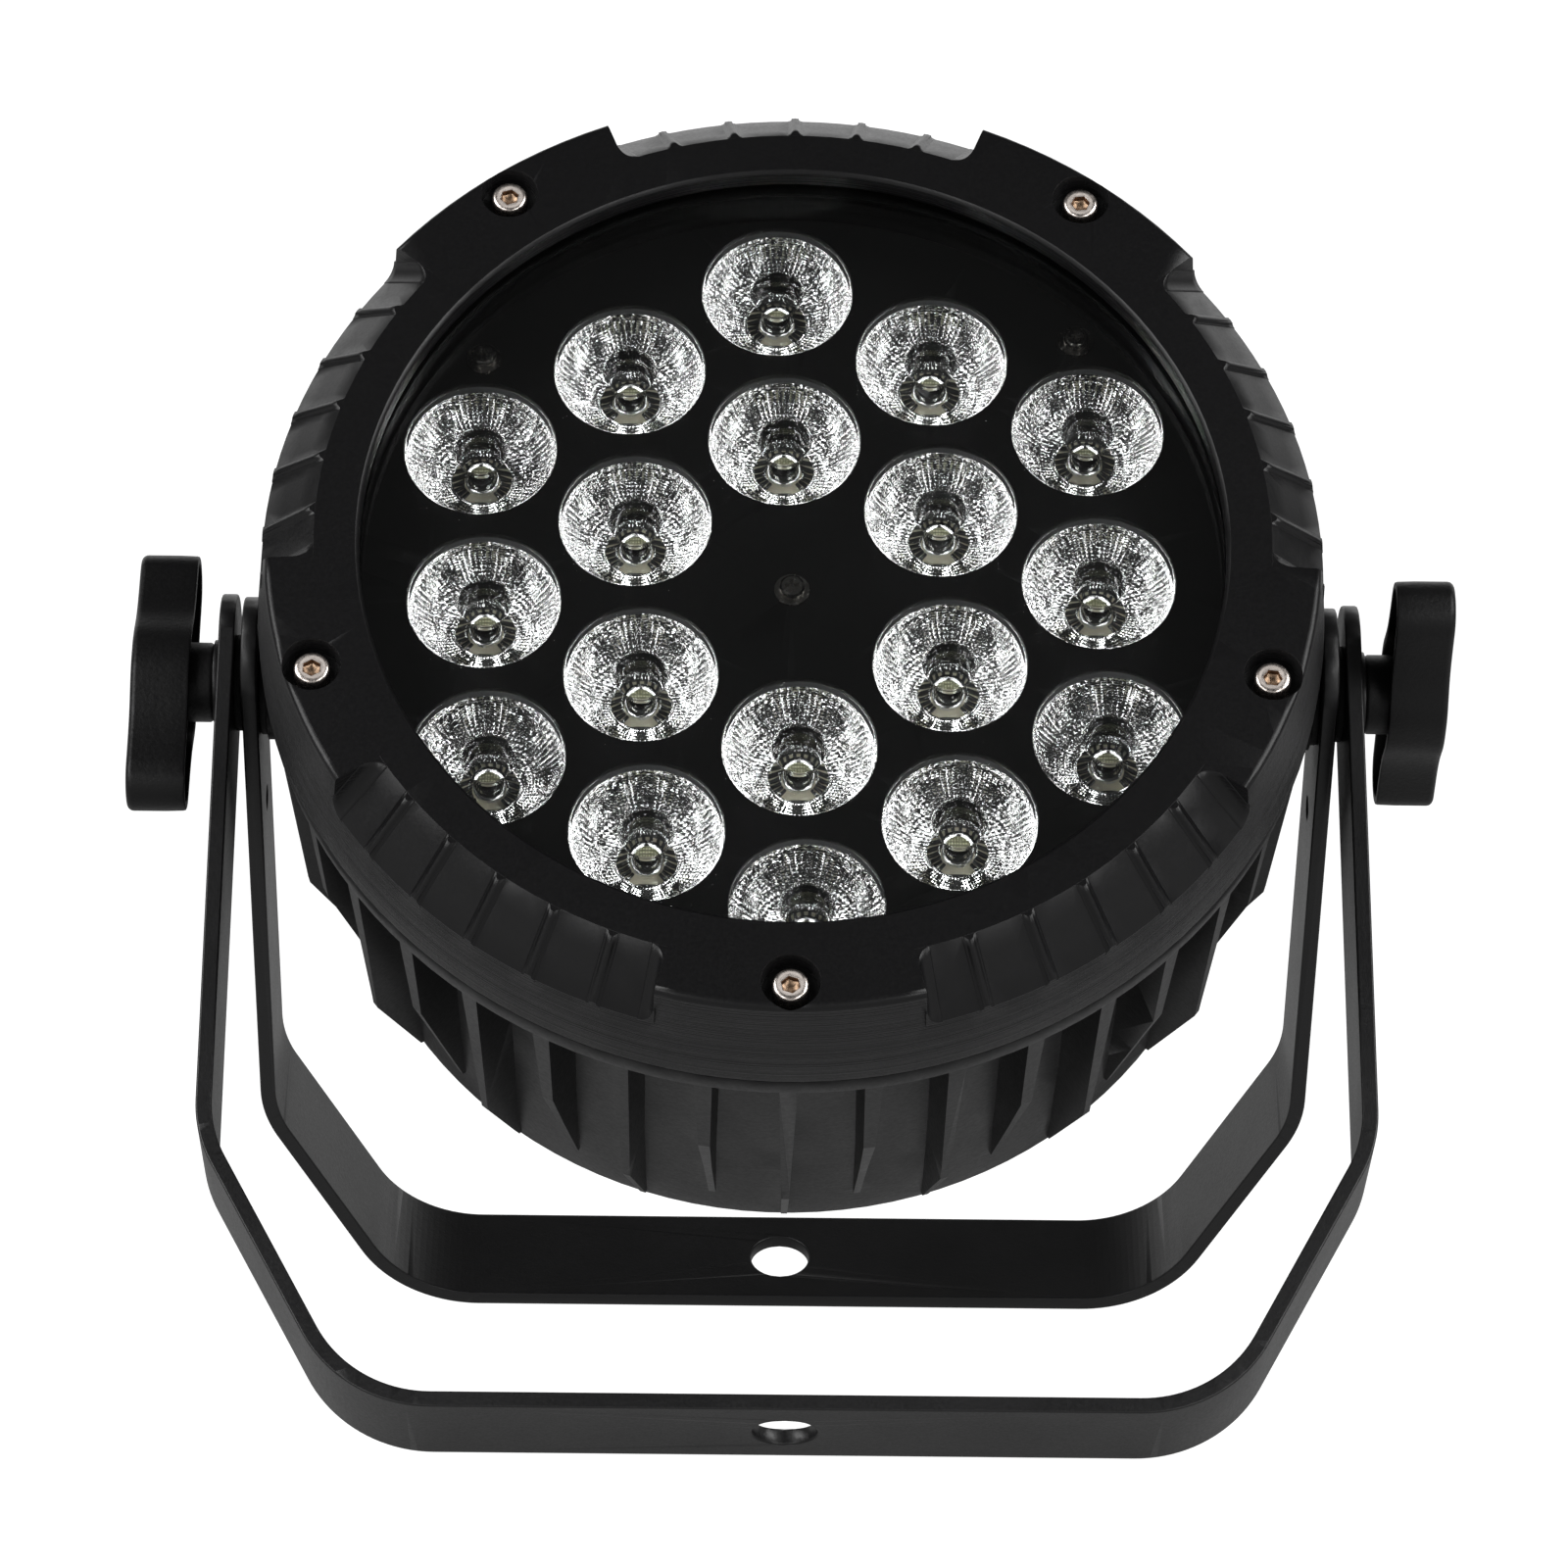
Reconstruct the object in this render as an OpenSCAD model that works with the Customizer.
// LED par can light on a two-bar folding yoke.
// Frame: origin at the centre of the clamp hole of the outer yoke (middle of the bar's
// thickness), +X along the tilt axis, -Y towards the side the light faces, +Z up.
// Left is -X and right is +X.
// The head is drawn in its own frame: z = 0 is the front of the lens plate, +z along the
// beam, +y towards the top of the head.

/* [Pose] */
// Angle of the beam above the horizon, degrees
beam_up = 35; // [0:1:60]
// Angle of each yoke from the vertical, degrees
splay = 32.6; // [20:0.1:45]

/* [Front rim] */
// Radius of the rim at its front face
rim_face_r = 102.9; // [102.3:0.1:103.5]
// Radius of the rim and of the housing flange at the back
rim_back_r = 105.3; // [104.8:0.1:105.6]
// Height of the rim's face above the lens plane
rim_front = 21.7; // [21:0.1:24]
// Radius of the opening in front of the glass
aperture_r = 84.3; // [82:0.1:85]
// Radius where the chamfered notches start on the face
notch_r = 93.1; // [92.5:0.1:94]
// Half angle of one notch, degrees
notch_half = 21.6; // [18:0.1:23]
// Radius of the circle of the rim screws
rim_screw_r = 97.1; // [96.5:0.1:97.5]

/* [Lens field] */
// Distance between neighbouring lenses
pitch = 35; // [34.4:0.1:35.4]
// Radius of the lens openings in the lens plate
lens_hole_r = 15.25; // [15.2:0.05:15.5]
// Turn of the lens field about the beam axis, degrees
array_turn = 2.7; // [0:0.1:5]

/* [Housing] */
// Distance from the lens plane back to the tilt axis
pivot_back = 39.2; // [37:0.1:42]
// Distance from the lens plane to the rear edge of the drum
drum_back = 94.3; // [94:0.1:98]
// Number of long fins, the same number of short fins stands between them
fins = 20; // [16:4:20]

/* [Yokes] */
// Distance from the tilt axis to the outside of the bottom bar
yoke_len = 160; // [155:0.5:175]
// Half of the outside width of the outer yoke
outer_half = 114.8; // [114.6:0.1:115]
// Half of the outside width of the inner yoke
inner_half = 109.8; // [109.7:0.1:109.9]
// Width of the yoke bars
bar_w = 25.2; // [22:0.1:26]
// Thickness of the yoke bars
bar_t = 3.2; // [3:0.1:3.2]
// Inside radius of the bends
bend_r = 25; // [15:1:28]
// Radius of the clamp holes
clamp_hole_r = 6.25; // [5.25:0.05:6.75]

/* [Knobs] */
// Distance from the knob axis to the middle of each wing tip
wing_reach = 24; // [20:0.5:26]
// Radius of the wing tips
wing_tip_r = 6.5; // [6:0.1:7.5]
// Turn of the left knob, degrees
left_knob_turn = 42; // [0:1:180]
// Turn of the right knob, degrees
right_knob_turn = 42; // [0:1:180]

/* [Hidden] */
$fn = 72;

black = "#1b1b1d";
dark = "#2a2a2d";
steel = "#b9b4ac";
green = "#1f5c38";
rubber = "#101010";
washer_black = "#0d0d0e";

// Tilt axis in the outer frame
hole_dist = yoke_len - bar_t / 2;        // from the tilt axis to the clamp hole centre
pivot_y = hole_dist * sin(splay);
pivot_z = hole_dist * cos(splay);

// Heights in the head frame, from front to rear
glass_seat = 17.4;                       // inner shoulder of the rim
spigot_top = 11.4;                       // front of the housing spigot
plate_back = -2;
rim_bottom = -4.6;
flange_top = -4.8;
flange_bottom = -9.8;
board_top = -21.4;                       // LED board
board_bottom = -23.4;
floor_top = -24;                         // heat spreading floor of the housing
floor_bottom = -30;
driver_top = -40;                        // driver board
driver_bottom = -41.6;
panel_board_top = -85.4;                 // display and button boards
panel_board_bottom = -87;
rear = -drum_back;                       // outer face of the rear cover
cover_t = 3;
cover_in = rear + cover_t;               // inner face of the rear cover
seat_z = cover_in + 0.9;                 // shoulder that the rear gasket sits on

// Places across the head
rim_screw_angles = [for (i = [0:4]) -90 + 72 * i];
cover_screw_angles = [for (i = [0:7]) 22.5 + 45 * i];
cover_screw_circle = 80;
post_xy = concat([[0, 0]], [for (sx = [-1, 1], sy = [-1, 1]) [sx * 59.5, sy * 55.8]]);
wire_xy = [pitch / sqrt(3), 0];          // between three neighbouring lens places
psu_y = 35;                              // centre of the power supply
psu_screw_x = 60;
driver_size = [102, 46];
driver_y = -33;
driver_inset = 5;                        // from the board's edges to its standoffs
driver_xy = [for (sx = [-1, 1], sy = [-1, 1])
    [sx * (driver_size.x / 2 - driver_inset), driver_y + sy * (driver_size.y / 2 - driver_inset)]];
window_size = [50, 18];
window_y = 37;
button_x = [-27, -9, 9, 27];
button_y = 14;
// power inlet, power outlet, DMX inlet, DMX outlet
plug_xy = [[-54, -12], [54, -12], [-20, -43], [20, -43]];
// flange screws, from the connector's centre
flange_screw_xy = [[-9.5, -12], [9.5, 12]];
fuse_xy = [0, -12];
vent_xy = [0, -68];
eye_y = 64;
eye_screw_x = 9;

// Lens centres: a hexagonal field with a ring of six and a ring of twelve, none in the middle
lens_xy = concat(
    [for (ring = [1, 2], i = [0:5]) ring * pitch * [sin(60 * i), cos(60 * i)]],
    [for (i = [0:5]) pitch * sqrt(3) * [sin(60 * i + 30), cos(60 * i + 30)]]);

// ---- Basic shapes ----

function arc(x, y, radius, from, to, steps) = [for (i = [0:steps])
    let (angle = from + (to - from) * i / steps)
    [x + radius * cos(angle), y + radius * sin(angle)]];

module disc(radius, bottom, top) translate([0, 0, bottom]) cylinder(r = radius, h = top - bottom);
module hex(radius, bottom, height) translate([0, 0, bottom]) cylinder(r = radius, h = height, $fn = 6);
module block(width, depth, bottom, top)
    translate([-width / 2, -depth / 2, bottom]) cube([width, depth, top - bottom]);
module ring(inner_r, outer_r, bottom, top) difference() {
    disc(outer_r, bottom, top);
    disc(inner_r, bottom - 1, top + 1);
}

// Cap screw: z = 0 under the head, head towards -z, hexagonal key hole
module cap_screw(head_r, head_h, shank_r, length, key_r) difference() {
    union() {
        disc(head_r, -head_h, 0);
        disc(shank_r, -0.1, length);
    }
    hex(key_r, -head_h - 1, 1 + head_h * 0.6);
}

// ---- Placing ----

module at_points(points) for (p = points) translate([p.x, p.y, 0]) children();
module pair(x) for (side = [-1, 1]) translate([side * x, 0, 0]) children();
module around(angles, radius)
    for (a = angles) rotate([0, 0, a]) translate([radius, 0, 0]) children();
module side_x(side) rotate([0, 90 * side, 0]) children();

module at_pivot() translate([0, pivot_y, pivot_z]) children();
module head() at_pivot() rotate([90 - beam_up, 0, 0]) translate([0, 0, pivot_back]) children();
module field() head() rotate([0, 0, array_turn]) children();
module lens_spots() field() at_points(lens_xy) children();
module rim_screw_spots() around(rim_screw_angles, rim_screw_r) children();
module cover_screw_spots() around(cover_screw_angles, cover_screw_circle) children();
// z = 0 on the outer face of the rear cover, +z into the head
module on_rear(points = [[0, 0]]) head() translate([0, 0, rear]) at_points(points) children();
// inside the head frame: z runs outwards along the tilt axis
module tilt_axis(side) translate([0, 0, -pivot_back]) side_x(side) children();
// the same axis, outside the head
module stack(side) at_pivot() side_x(side) children();
module outer_swing() at_pivot() rotate([-splay, 0, 0]) children();
module inner_swing() at_pivot() rotate([splay, 0, 0]) children();

// ---- Housing ----

bore_r = 87.4;                           // front chamber
rear_bore_r = 85.5;                      // rear chamber
cover_bore_r = 88.7;                     // recess for the rear cover, and foot of the fins
spigot_r = 90.2;
drum_turn = 22.6;                        // start of the turned outline, degrees
screw_bore_r = 2.05;
small_bore_r = 1.55;
boss_out = 105;                          // outer end of the pivot bosses
insert_in = 89;                          // inner end of the pivot inserts
insert_r = 6.5;

// Side outlines of the fins: radius, height
long_fin = [[cover_bore_r, -7.3], [104.9, -7.3], [102.1, -64.1], [92.6, rear + 2.9],
    [cover_bore_r, rear + 2.4]];
short_fin = [[cover_bore_r, -7.3], [104.9, -7.3], [103.2, -40.3], [93.1, -82.4],
    [cover_bore_r, -83.1]];
// Both fins thin towards the rear: half width, height
fin_taper = [[1.85, -6], [0.8, -60], [0.6, rear - 2]];

module fin_ring(start, outline) for (i = [0:fins - 1])
    rotate([0, 0, start + 360 / fins * i]) intersection() {
        rotate([90, 0, 0]) translate([0, 0, -4]) linear_extrude(8) polygon(outline);
        rotate([90, 0, 90]) translate([0, 0, 80]) linear_extrude(30)
            polygon(concat([[-fin_taper[0].x, fin_taper[0].y]], fin_taper,
                [for (i = [2, 1]) [-fin_taper[i].x, fin_taper[i].y]]));
    }

// Drum, flange and spigot, turned: radius, height
module drum() rotate([0, 0, drum_turn]) rotate_extrude() polygon(concat(
    [[0, rear], [90, rear]],
    arc(90, rear + 1.7, 1.7, -90, 0, 5),
    [[92.3, -83], [94.6, flange_bottom], [rim_back_r - 0.4, flange_bottom],
     [rim_back_r, flange_bottom + 0.4], [rim_back_r, flange_top],
     [spigot_r, flange_top], [spigot_r, spigot_top], [0, spigot_top]]));

// Rear chamber, leaving the bosses of the rear cover screws
module rear_chamber() difference() {
    disc(rear_bore_r, rear - 1, floor_bottom);
    cover_screw_spots() disc(6.3, seat_z - 1, seat_z + 20);
}

module housing() color(black) head() difference() {
    union() {
        drum();
        fin_ring(-90, long_fin);
        fin_ring(-90 + 180 / fins, short_fin);
        for (side = [-1, 1]) tilt_axis(side) disc(11.4, 80, boss_out);
        rim_screw_spots() disc(4.6, -17, -6);
    }
    disc(bore_r, floor_top, 12);
    rear_chamber();
    disc(cover_bore_r, rear - 1, seat_z);
    cover_screw_spots() disc(screw_bore_r, seat_z - 1, seat_z + 14);
    rim_screw_spots() disc(screw_bore_r, -16, 0);
    for (side = [-1, 1]) tilt_axis(side) {
        disc(insert_r + 0.02, insert_in - 0.1, boss_out + 1);
        disc(4.4, 86.5, insert_in);
    }
    rotate([0, 0, array_turn]) {
        at_points(post_xy) disc(small_bore_r, floor_top - 4.5, floor_top + 1);
        at_points([wire_xy]) disc(6, floor_bottom - 1, floor_top + 1);
    }
    at_points(driver_xy) disc(small_bore_r, floor_bottom - 1, floor_bottom + 4);
    translate([0, psu_y, 0]) pair(psu_screw_x)
        disc(screw_bore_r, floor_bottom - 1, floor_bottom + 4.5);
}

// ---- Front rim and glass ----

rim_bore_r = 90.4;
rim_screw_seat = 16.4;                   // bottom of the screw pockets
rib_step = 7.5;                          // angle between ribs, degrees
glass_r = 88.9;
glass_back = 12.5;
glass_front = 16.3;

// Turned rim with the notches cut at 45 degrees
module notched_rim() difference() {
    rotate_extrude() polygon(concat(
        [[rim_back_r, rim_bottom]],
        arc(rim_face_r - 1.4, rim_front - 1.4, 1.4, 0, 90, 6),
        [[aperture_r + 0.7, rim_front], [aperture_r, rim_front - 0.7],
         [aperture_r, glass_seat], [rim_bore_r, glass_seat], [rim_bore_r, rim_bottom]]));
    cut_r = rim_back_r + 2;
    for (a = rim_screw_angles) rotate([0, 0, a + 36 - notch_half])
        rotate_extrude(angle = 2 * notch_half)
            polygon([[notch_r, rim_front + 0.001], [notch_r, rim_front + 2],
                [cut_r, rim_front + 2], [cut_r, rim_front - (cut_r - notch_r)]]);
}

// Radial blade, cut to height by the ring in notch_ribs
module rib_blade() rotate([90, 0, 90]) translate([0, 0, 88]) linear_extrude(18)
    polygon([[-0.95, -5], [0.95, -5], [0.6, rim_front + 1], [-0.6, rim_front + 1]]);

// Five ribs on the chamfer of each notch
module notch_ribs() intersection() {
    rotate_extrude() polygon([[notch_r - 1.4, rim_front - 1], [notch_r - 0.6, rim_front - 0.25],
        [notch_r + 0.4, rim_front - 0.12], [103.9, 11.9], [103.9, 9], [notch_r + 4, 9],
        [notch_r - 1.4, rim_front - 4]]);
    for (a = rim_screw_angles, k = [-2:2]) rotate([0, 0, a + 36 + rib_step * k]) rib_blade();
}

module front_rim() color(black) head() difference() {
    union() {
        notched_rim();
        notch_ribs();
    }
    rim_screw_spots() {
        disc(5.7, rim_screw_seat, rim_front + 1);
        disc(2.25, rim_bottom - 1, 17);
    }
    // hollow back between the screw posts
    difference() {
        ring(92.6, 101.6, rim_bottom - 1, 6);
        rim_screw_spots() disc(6.2, rim_bottom - 2, 7);
    }
}

module rim_screws() color(steel) head() rim_screw_spots() difference() {
    union() {
        disc(3.5, rim_screw_seat, 20.1);
        translate([0, 0, 20.1]) cylinder(r1 = 3.5, r2 = 3.1, h = 0.4);
        disc(2.0, -15.5, rim_screw_seat + 0.1);
    }
    rotate([0, 0, 12]) hex(1.75, 18.3, 3);
}

module rim_gasket() color(rubber) head() ring(90.6, 92.2, flange_top + 0.01, rim_bottom - 0.01);

module front_glass() color("#d8e4e840") head() disc(glass_r, glass_back, glass_front);

// Channel round the edge of the glass
module glass_gasket() color(rubber) head() difference() {
    ring(85.2, 90.1, spigot_top + 0.1, glass_seat - 0.1);
    disc(glass_r + 0.05, glass_back - 0.05, glass_front + 0.05);
}

// ---- Lens field ----

post_hole_r = 1.7;

// Lens half section: radius, height. Front well, flange, cone, pocket over the emitter
lens_profile = [
    [0, -7.2], [4.6, -7.6], [5.2, -0.9], [15.1, -0.8], [15.1, -2.05], [16.2, -2.05],
    [16.2, -3.4], [14.2, -5.2], [11.4, -10.2], [8.6, -15.2], [6.0, -18.5], [3.6, -18.5],
    [3.3, -12.2], [2.0, -11.2], [0, -10.8]];
// Lens holder half section: radius, height
holder_profile = [[6.4, -21.35], [10.2, -21.35], [10.2, -16.2], [9.4, -15.2], [8.9, -15.2],
    [6.4, -18.6]];

module lens_plate() color(dark) field() difference() {
    disc(87.1, plate_back, 0);
    at_points(lens_xy) disc(lens_hole_r, plate_back - 1, 1);
    at_points(post_xy) disc(post_hole_r, plate_back - 1, 1);
}

// Cross-slotted screws with a washer
module lens_plate_screws() color(steel) field() at_points(post_xy) difference() {
    union() {
        disc(3.5, 0, 0.5);
        disc(2.45, 0.4, 1.9);
        translate([0, 0, 1.9]) cylinder(r1 = 2.45, r2 = 2.0, h = 0.4);
        disc(1.5, -8, 0.1);
    }
    for (a = [0, 90]) rotate([0, 0, a]) block(2.8, 0.7, 1.4, 3);
}

module lenses() color("#e8f2f560") lens_spots() rotate_extrude() polygon(lens_profile);

// Ring with twelve nicks in its front edge and a slot across its back
module lens_holders() color("#17171a") lens_spots() difference() {
    rotate_extrude() polygon(holder_profile);
    for (i = [0:11]) rotate([0, 0, 30 * i + 15]) translate([9.6, -0.7, -16.6]) cube([2, 1.4, 3]);
    block(5.4, 14, -21.6, -20.6);
}

module led_emitters() color("#d9e25a") lens_spots() {
    block(5, 5, board_top + 0.02, -20.1);
    translate([0, 0, -20.2]) cylinder(r1 = 2.3, r2 = 2.0, h = 0.9);
}

// Holes of the LED board and its thermal pad, for the posts and the wires
module board_holes(wire_r, bottom) {
    at_points(post_xy) disc(post_hole_r, bottom, bottom + 4);
    at_points([wire_xy]) disc(wire_r, bottom, bottom + 4);
}

module led_board() color("#e9e9e2") field() difference() {
    disc(85.6, board_bottom, board_top);
    board_holes(wire_r = 5, bottom = floor_top);
}

module standoffs() color(steel) field() at_points(post_xy) difference() {
    union() {
        hex(3.2, board_top, plate_back - board_top);
        disc(1.5, floor_top - 4, -21);
    }
    disc(small_bore_r, -12, -1);
}

module thermal_pad() color("#9aa3a8") field() difference() {
    disc(85, floor_top + 0.01, board_bottom - 0.01);
    board_holes(wire_r = 5.6, bottom = floor_top - 1);
}

module wire_grommet() color("#141414") field() at_points([wire_xy]) difference() {
    union() {
        disc(5.95, floor_bottom - 0.1, floor_top);
        disc(7.6, floor_bottom - 1.8, floor_bottom - 0.02);
    }
    disc(3.9, floor_bottom - 3, floor_top + 1);
}

// Wire that drops from top to bottom, then bends towards +x and runs on
module bent_wire(radius, top, bottom, bend, run) {
    disc(radius, bottom, top);
    translate([bend, 0, bottom]) rotate([90, 0, 0]) rotate_extrude(angle = 90, start = 180)
        translate([bend, 0]) circle(r = radius);
    translate([bend, 0, bottom - bend]) rotate([0, 90, 0]) cylinder(r = radius, h = run);
}

// Three wires leave side by side, each bending at its own height
module led_wires() color("#b02a1c") field() at_points([wire_xy])
    for (i = [0:2]) rotate([0, 0, 120 * i]) translate([2.4, 0, 0]) rotate([0, 0, -120 * i - 100])
        bent_wire(radius = 0.9, top = -20.5, bottom = -32 - 1.9 * ((i + 1) % 3),
            bend = 2.5, run = 12);

// ---- Power supply and driver ----

psu_top = floor_bottom - 0.05;
parts_z = driver_bottom - 0.02;          // parts and nuts start just behind the driver board

// Case, mounting strip and a bar across the back
module power_supply() color("#8d8f92") head() translate([0, psu_y, 0]) difference() {
    union() {
        block(106, 52, -56, psu_top);
        block(132, 14, floor_bottom - 2.6, psu_top);
        translate([-40, 0, -57.5]) block(20, 44, 0, 2);
    }
    pair(psu_screw_x) disc(2.2, floor_bottom - 4, floor_bottom + 1);
}

module power_supply_screws() color(steel) head() translate([0, psu_y, 0]) pair(psu_screw_x) {
    disc(3.6, floor_bottom - 5, floor_bottom - 2.65);
    disc(1.98, floor_bottom - 3, floor_bottom + 3.5);
}

module driver_board() color(green) head() difference() {
    translate([0, driver_y, 0]) block(driver_size.x, driver_size.y, driver_bottom, driver_top);
    at_points(driver_xy) disc(1.7, -43, -39);
}

// Four blocks in a row, two cans, a low and a tall block
module driver_components() color("#30343a") head() translate([0, driver_y, 0]) {
    at_points([for (x = [-30, -10, 10, 30]) [x, 10]]) block(13, 13, -50, parts_z);
    at_points([[-40.5, -11], [-30, -11]]) disc(4.6, -58, parts_z);
    at_points([[2, -10]]) block(16, 16, -44, parts_z);
    at_points([[30, -12]]) block(22, 9, -52, parts_z);
}

// Hexagonal standoff, a stud at each end, and the nut behind the board
module driver_standoffs() color("#c9a75a") head() at_points(driver_xy) {
    hex(3, driver_top, floor_bottom - driver_top - 0.02);
    disc(1.5, floor_bottom - 0.1, floor_bottom + 3.5);
    disc(1.5, -42.5, driver_top + 0.1);
    hex(2.9, -43.4, 1.78);
}

// ---- Rear cover, display and buttons ----

module cover_hole(radius) disc(radius, -1, cover_t + 1);

module rear_cover() color(black) on_rear() difference() {
    disc(88.4, 0, cover_t);
    cover_screw_spots() cover_hole(2.3);
    translate([0, window_y, 0]) block(window_size.x + 0.3, window_size.y + 0.3, -1, cover_t + 1);
    for (x = button_x) translate([x, button_y, 0]) cover_hole(4.5);
    at_points(plug_xy) {
        cover_hole(12.1);
        at_points(flange_screw_xy) cover_hole(1.6);
    }
    at_points([fuse_xy]) cover_hole(6.2);
    at_points([vent_xy]) cover_hole(4.1);
    translate([0, eye_y, 0]) pair(eye_screw_x) cover_hole(2.1);
}

module rear_gasket() color(rubber) head() ring(85.9, 88.2, cover_in + 0.01, seat_z - 0.01);

module rear_cover_screws() color(steel) on_rear() cover_screw_spots()
    cap_screw(head_r = 3.6, head_h = 2.4, shank_r = 2.0, length = 15, key_r = 1.5);

// Board, screen, and four corner posts
module display_module() color(green) head() translate([0, window_y, 0]) {
    block(62, 24, panel_board_bottom, panel_board_top);
    block(48, 16, cover_in + 0.1, panel_board_bottom + 0.1);
    for (y = [-9.5, 9.5]) translate([0, y, 0]) pair(28) disc(1.5, -90.6, panel_board_bottom + 0.1);
}

module display_window() color("#0d1512e0") on_rear([[0, window_y]])
    block(window_size.x, window_size.y, -0.3, cover_t);

// Board with a switch under each button
module button_board() color(green) head() translate([0, button_y, 0]) {
    block(70, 14, panel_board_bottom, panel_board_top);
    for (x = button_x) translate([x, 0, 0]) {
        block(6, 6, -88.9, panel_board_bottom + 0.1);
        disc(1.7, -89.25, -88.8);
    }
}

module button(i) color("#3a3b3e") on_rear([[button_x[i], button_y]]) {
    disc(4.3, -2.0, cover_t + 0.2);
    disc(5.4, cover_t + 0.1, cover_t + 0.9);
}
module menu_button() button(0);
module down_button() button(1);
module up_button() button(2);
module enter_button() button(3);

// ---- Connectors, drawn with z = 0 on the outer face of the rear cover ----

flange_t = 2.2;
power_pin_x = 4;
power_pin_r = 1.1;                       // radius of the mains wires
dmx_pin_circle = 4.6;
dmx_inlet_angles = [-60, 90, 240];
dmx_outlet_angles = [60, 270, 120];

// Rectangular flange with two screw holes, round body and lip, less the children
module socket_body(depth, lip) difference() {
    union() {
        block(26, 31, -flange_t, 0);
        disc(11.9, -1, depth);
        disc(12.4, -lip, -1);
    }
    at_points(flange_screw_xy) disc(1.6, -4, 1);
    children();
}

// Ring-shaped recess with a key on one side, three flat tabs on the inner end
module power_socket(key_angle) {
    socket_body(depth = 27, lip = 4.2) difference() {
        disc(10.2, -6, 16);
        disc(6.8, -3, 17);
        rotate([0, 0, key_angle]) translate([9.6, 0, 0]) block(2.4, 2.6, -2, 17);
    }
    for (x = [-power_pin_x, 0, power_pin_x]) translate([x, 0, 0]) block(1, 4.8, 26.9, 32);
}
module power_inlet() color("#2c5fa8") on_rear([plug_xy[0]]) power_socket(0);
module power_outlet() color("#b9bcc0") on_rear([plug_xy[1]]) power_socket(180);

module dmx_tails(angles) around(angles, dmx_pin_circle) disc(1, 21.9, 27);

// Open recess with three pins
module dmx_inlet() color("#3c3d40") on_rear([plug_xy[2]]) {
    socket_body(depth = 22, lip = 3.0) disc(9.7, -6, 15);
    around(dmx_inlet_angles, dmx_pin_circle) disc(1.2, 1, 15.1);
    dmx_tails(dmx_inlet_angles);
}

// Core with three pin holes in a ring-shaped recess, and a latch above
module dmx_outlet() color("#3c3d40") on_rear([plug_xy[3]]) {
    socket_body(depth = 22, lip = 3.0) {
        difference() {
            disc(9.7, -6, 14);
            disc(8.2, -1, 15);
        }
        around(dmx_outlet_angles, dmx_pin_circle) disc(1.4, -6, 12);
    }
    translate([0, 13, 0]) block(8, 4, -3.4, -2.1);
    dmx_tails(dmx_outlet_angles);
}

module connector_screws() color(steel) on_rear(plug_xy) at_points(flange_screw_xy)
    translate([0, 0, -flange_t])
        cap_screw(head_r = 2.7, head_h = 1.6, shank_r = 1.45, length = 8, key_r = 1.15);

// Two wires from the inlet's outer tabs: forwards in two overlapping lengths, then up
module mains_wires() color("#6b4a2a") head() at_points([plug_xy[0]]) pair(power_pin_x) {
    disc(power_pin_r, -62, -57.3);
    translate([0, 0, -54]) rotate([-90, 0, 0]) disc(power_pin_r, 0, 20);
    disc(power_pin_r, -58, -53);
}

// Two wires forwards from a DMX socket, joined by a cross wire at the top
module signal_loop(place, top) at_points([place]) {
    pair(2.4) disc(0.8, -66.5, top);
    translate([0, 0, top]) rotate([0, 90, 0]) disc(0.8, -2.4, 2.4);
}
module signal_wires() color("#4a4d9a") head() {
    signal_loop(plug_xy[2], top = -46);
    signal_loop(plug_xy[3], top = -54.5);
}

// ---- Other parts on the rear cover ----

// Body, collar, and a slotted cap
module fuse_holder() color("#18181a") on_rear([fuse_xy]) difference() {
    union() {
        disc(6.1, -1, 30);
        disc(8.4, -3, 0);
        translate([0, 0, -9]) cylinder(r1 = 6.2, r2 = 6.8, h = 6.2);
    }
    block(9, 1.4, -10, -7.6);
}

// Hexagonal head, bored stem, and a nut inside the cover
module breather_valve() color("#2a2b2e") on_rear([vent_xy]) difference() {
    union() {
        hex(7, -5.2, 5.2);
        disc(4, -1, cover_t + 4);
        hex(6, cover_t + 0.05, 2.6);
    }
    disc(1.5, -6, cover_t + 5);
}

eye_t = 3;                               // thickness of the bracket
eye_z = -16;                             // centre of the eye
eye_outer_r = 12;

// Angle bracket with a round hole for a safety bond
module safety_eye() color(black) on_rear([[0, eye_y]]) difference() {
    union() {
        translate([-17, -7, -eye_t]) cube([34, 14, eye_t]);
        translate([-eye_outer_r, 4, eye_z]) cube([2 * eye_outer_r, eye_t, 14]);
        translate([0, 4, eye_z]) rotate([-90, 0, 0]) cylinder(r = eye_outer_r, h = eye_t);
    }
    pair(eye_screw_x) disc(2.1, -eye_t - 1, 1);
    translate([0, 0, eye_z]) rotate([-90, 0, 0]) cylinder(r = 5.5, h = 12);
}

// Screws, with nuts inside the cover
module safety_eye_screws() color(steel) on_rear([[0, eye_y]]) pair(eye_screw_x) {
    translate([0, 0, -eye_t])
        cap_screw(head_r = 3.5, head_h = 2.2, shank_r = 1.95, length = 10, key_r = 1.5);
    translate([0, 0, cover_t + 0.02]) difference() {
        hex(3.9, 0, 3);
        disc(1.96, -1, 4);
    }
}

// ---- Tilt axis stack, from the head outwards ----

module insert(side) color(steel) head() tilt_axis(side) ring(4.05, insert_r, insert_in, boss_out);
module left_insert() insert(-1);
module right_insert() insert(1);

module head_washer(side) color(washer_black) head() tilt_axis(side)
    ring(4.5, 10.4, boss_out + 0.02, inner_half - bar_t - 0.08);
module left_head_washer() head_washer(-1);
module right_head_washer() head_washer(1);

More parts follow.
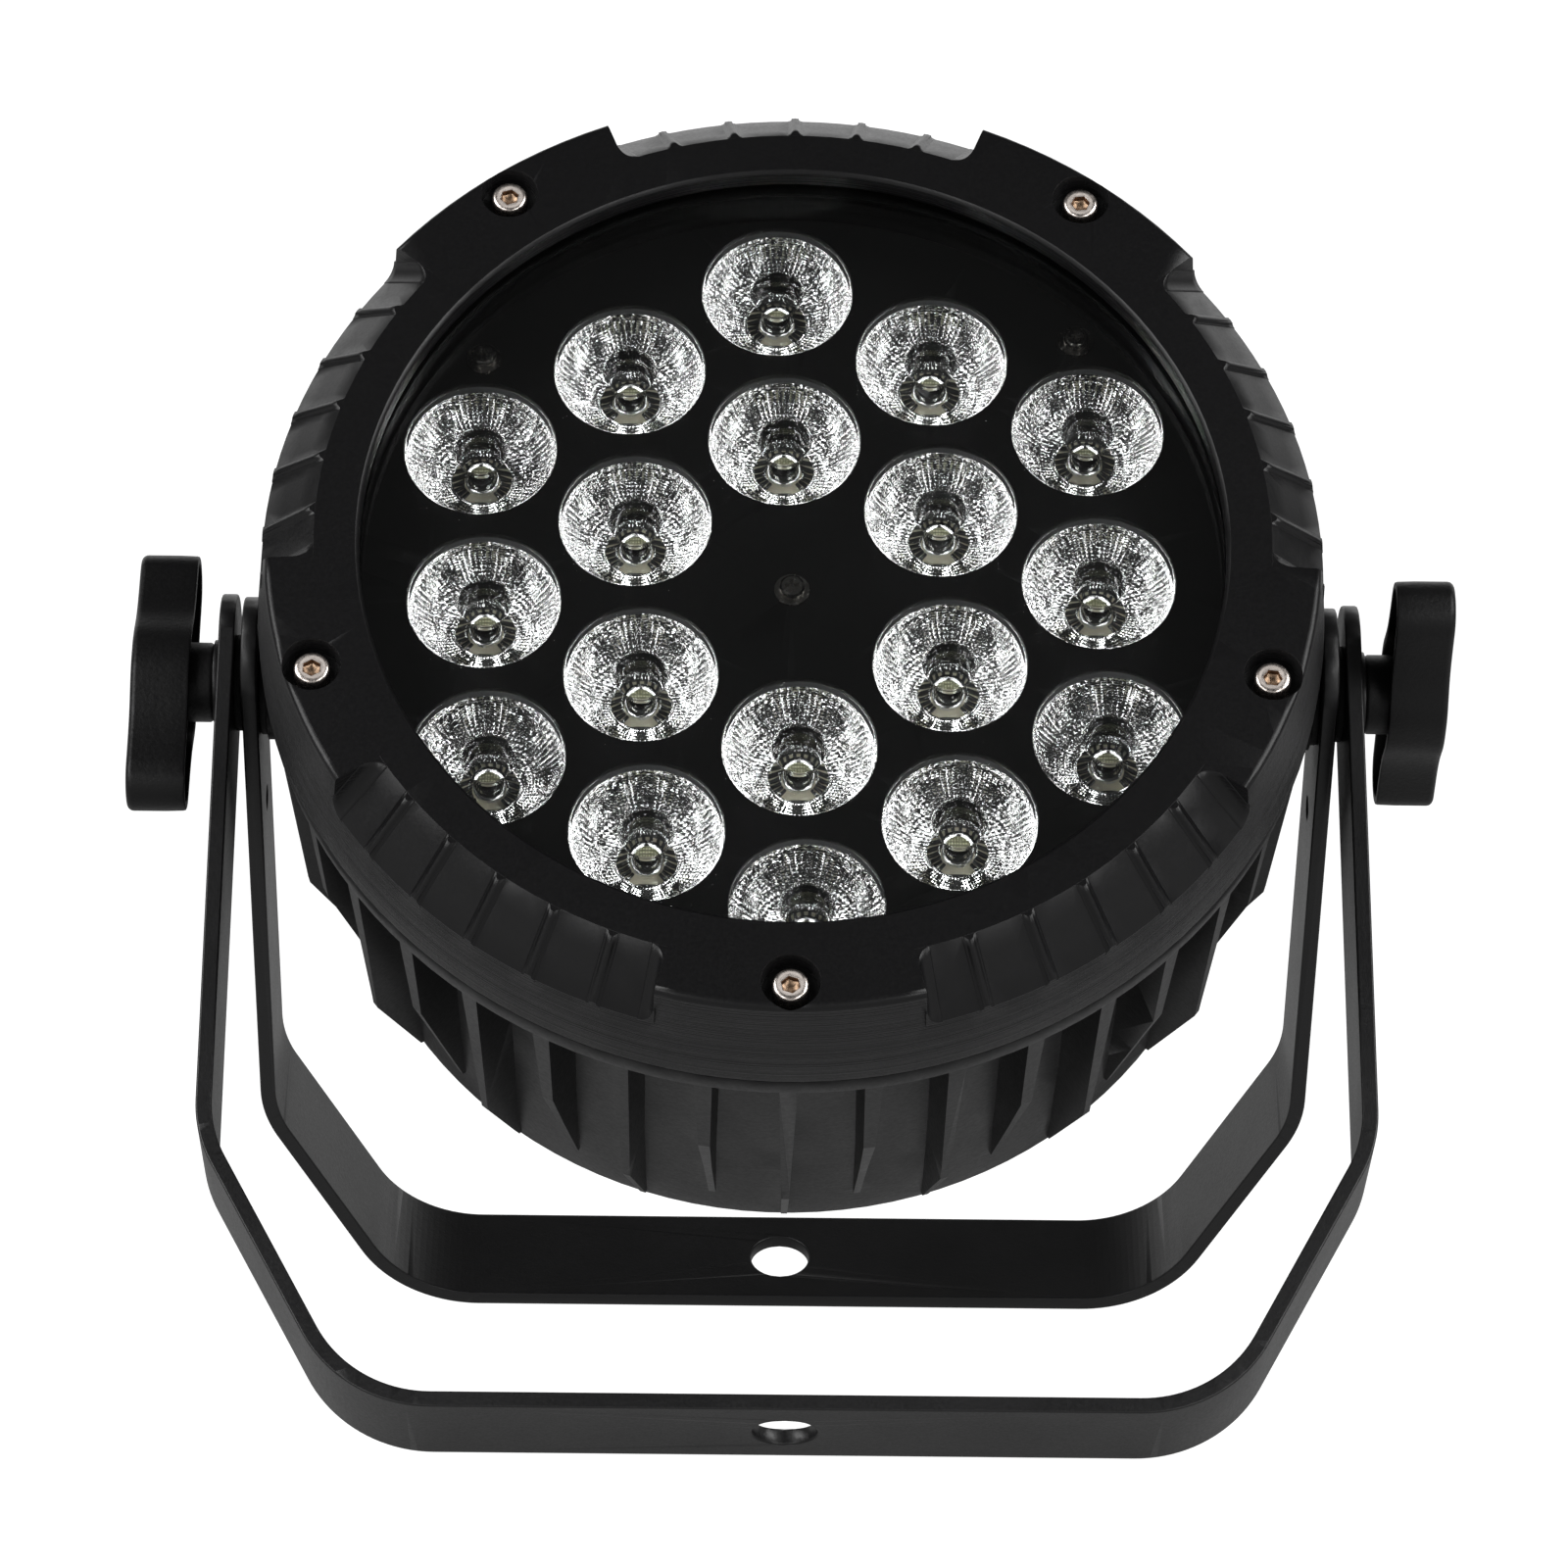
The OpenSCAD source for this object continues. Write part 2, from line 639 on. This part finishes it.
module yoke_washer(side) color(washer_black) stack(side)
    ring(4.5, 9.7, inner_half + 0.08, outer_half - bar_t);
module left_yoke_washer() yoke_washer(-1);
module right_yoke_washer() yoke_washer(1);

module clamp_washer(side) color(dark) stack(side)
    ring(4.15, 8.6, outer_half + 0.04, outer_half + 1.2);
module left_clamp_washer() clamp_washer(-1);
module right_clamp_washer() clamp_washer(1);

module stud(side) color(steel) stack(side) disc(4.0, insert_in - 0.05, outer_half + 13.5);
module left_stud() stud(-1);
module right_stud() stud(1);

// ---- Yokes ----

arm_end = 6;                             // centre of the rounded arm ends above the tilt axis

function backwards(path) = [for (i = [len(path) - 1:-1:0]) path[i]];
// Adds the left half to a right half that runs down to the middle of the bottom
function both_halves(path) = concat(path, [for (p = backwards(path)) [-p.x, p.y]]);
// One face of the bar: arm, upper bend, slope, lower bend
function half_face(face_x, radius, upper, lower, slope) = concat([[face_x, -40]],
    arc(upper.x, upper.y, radius, 0, slope, 10),
    arc(lower.x, lower.y, radius, slope, 90, 20));

// Section across the bar's width: x, distance below the tilt axis.
// arm_x is the inner face of the arm, corner_x where the slope would meet the bottom's
// inner face, slope the angle from the vertical
module yoke_profile(arm_x, corner_x, slope) {
    bottom = yoke_len - bar_t;
    slope_start = bottom - (arm_x - corner_x) / tan(slope);
    upper = [arm_x - bend_r, slope_start - bend_r * tan(slope / 2)];
    lower = [corner_x - bend_r * tan((90 - slope) / 2), bottom - bend_r];
    inner = half_face(arm_x, bend_r, upper, lower, slope);
    outer = half_face(arm_x + bar_t, bend_r + bar_t, upper, lower, slope);
    polygon(concat(both_halves(outer), backwards(both_halves(inner))));
}

// Cylinder along x through both arms
module cross_hole(radius) translate([-150, 0, 0]) rotate([0, 90, 0]) cylinder(r = radius, h = 300);

module yoke(arm_x, corner_x, slope) difference() {
    intersection() {
        rotate([-90, 0, 0]) translate([0, 0, -bar_w / 2]) linear_extrude(bar_w)
            yoke_profile(arm_x, corner_x, slope);
        // rounds the arm ends
        rotate([90, 0, 90]) translate([0, 0, -150]) linear_extrude(300) union() {
            translate([0, arm_end]) circle(r = bar_w / 2);
            translate([-bar_w / 2, -200]) square([bar_w, 200 + arm_end]);
        }
    }
    cross_hole(4.35);
    translate([0, 0, -yoke_len - 5]) cylinder(r = clamp_hole_r, h = 20);
}

module outer_yoke() color(dark) outer_swing()
    yoke(arm_x = outer_half - bar_t, corner_x = 82.5, slope = 28.5);

// The inner yoke has a second, smaller hole in each arm
module inner_yoke() color(dark) inner_swing() difference() {
    yoke(arm_x = inner_half - bar_t, corner_x = 80, slope = 27.3);
    translate([0, 0, -29.8]) cross_hole(2.6);
}

// ---- Wing knobs, drawn with z = 0 at the outer face of the outer yoke ----

wing_z = 5.6;                            // inner face of the wings
knob_hub_r = 8.05;

module wing_outline(inset) {
    half_width = wing_tip_r - 1.1 - inset;
    circle(r = 11.6 - inset);
    translate([-wing_reach, -half_width]) square([2 * wing_reach, 2 * half_width]);
    pair(wing_reach) circle(r = wing_tip_r - inset);
}

// Wings hollowed from the inner side round the hub, with a blind bore for the stud
module knob_body() difference() {
    union() {
        translate([0, 0, wing_z]) linear_extrude(11.8) wing_outline(0);
        disc(knob_hub_r, 1.25, 6);
    }
    difference() {
        translate([0, 0, wing_z - 0.01]) linear_extrude(9.6) wing_outline(1.8);
        disc(knob_hub_r, 0, 20);
    }
    disc(4.02, 0, 13.6);
}

// At turn 0 the wings stand vertical
module knob(side, turn) color("#232326") stack(side)
    translate([0, 0, outer_half]) rotate([0, 0, turn]) knob_body();
module left_knob() knob(-1, left_knob_turn);
module right_knob() knob(1, right_knob_turn);

housing();
front_rim();
rim_screws();
rim_gasket();
front_glass();
glass_gasket();
lens_plate();
lens_plate_screws();
lenses();
lens_holders();
led_emitters();
led_board();
standoffs();
thermal_pad();
wire_grommet();
led_wires();
power_supply();
power_supply_screws();
driver_board();
driver_components();
driver_standoffs();
rear_cover();
rear_gasket();
rear_cover_screws();
display_module();
display_window();
button_board();
menu_button();
down_button();
up_button();
enter_button();
power_inlet();
power_outlet();
dmx_inlet();
dmx_outlet();
connector_screws();
mains_wires();
signal_wires();
fuse_holder();
breather_valve();
safety_eye();
safety_eye_screws();
left_insert();
right_insert();
left_head_washer();
right_head_washer();
inner_yoke();
outer_yoke();
left_yoke_washer();
right_yoke_washer();
left_clamp_washer();
right_clamp_washer();
left_stud();
right_stud();
left_knob();
right_knob();
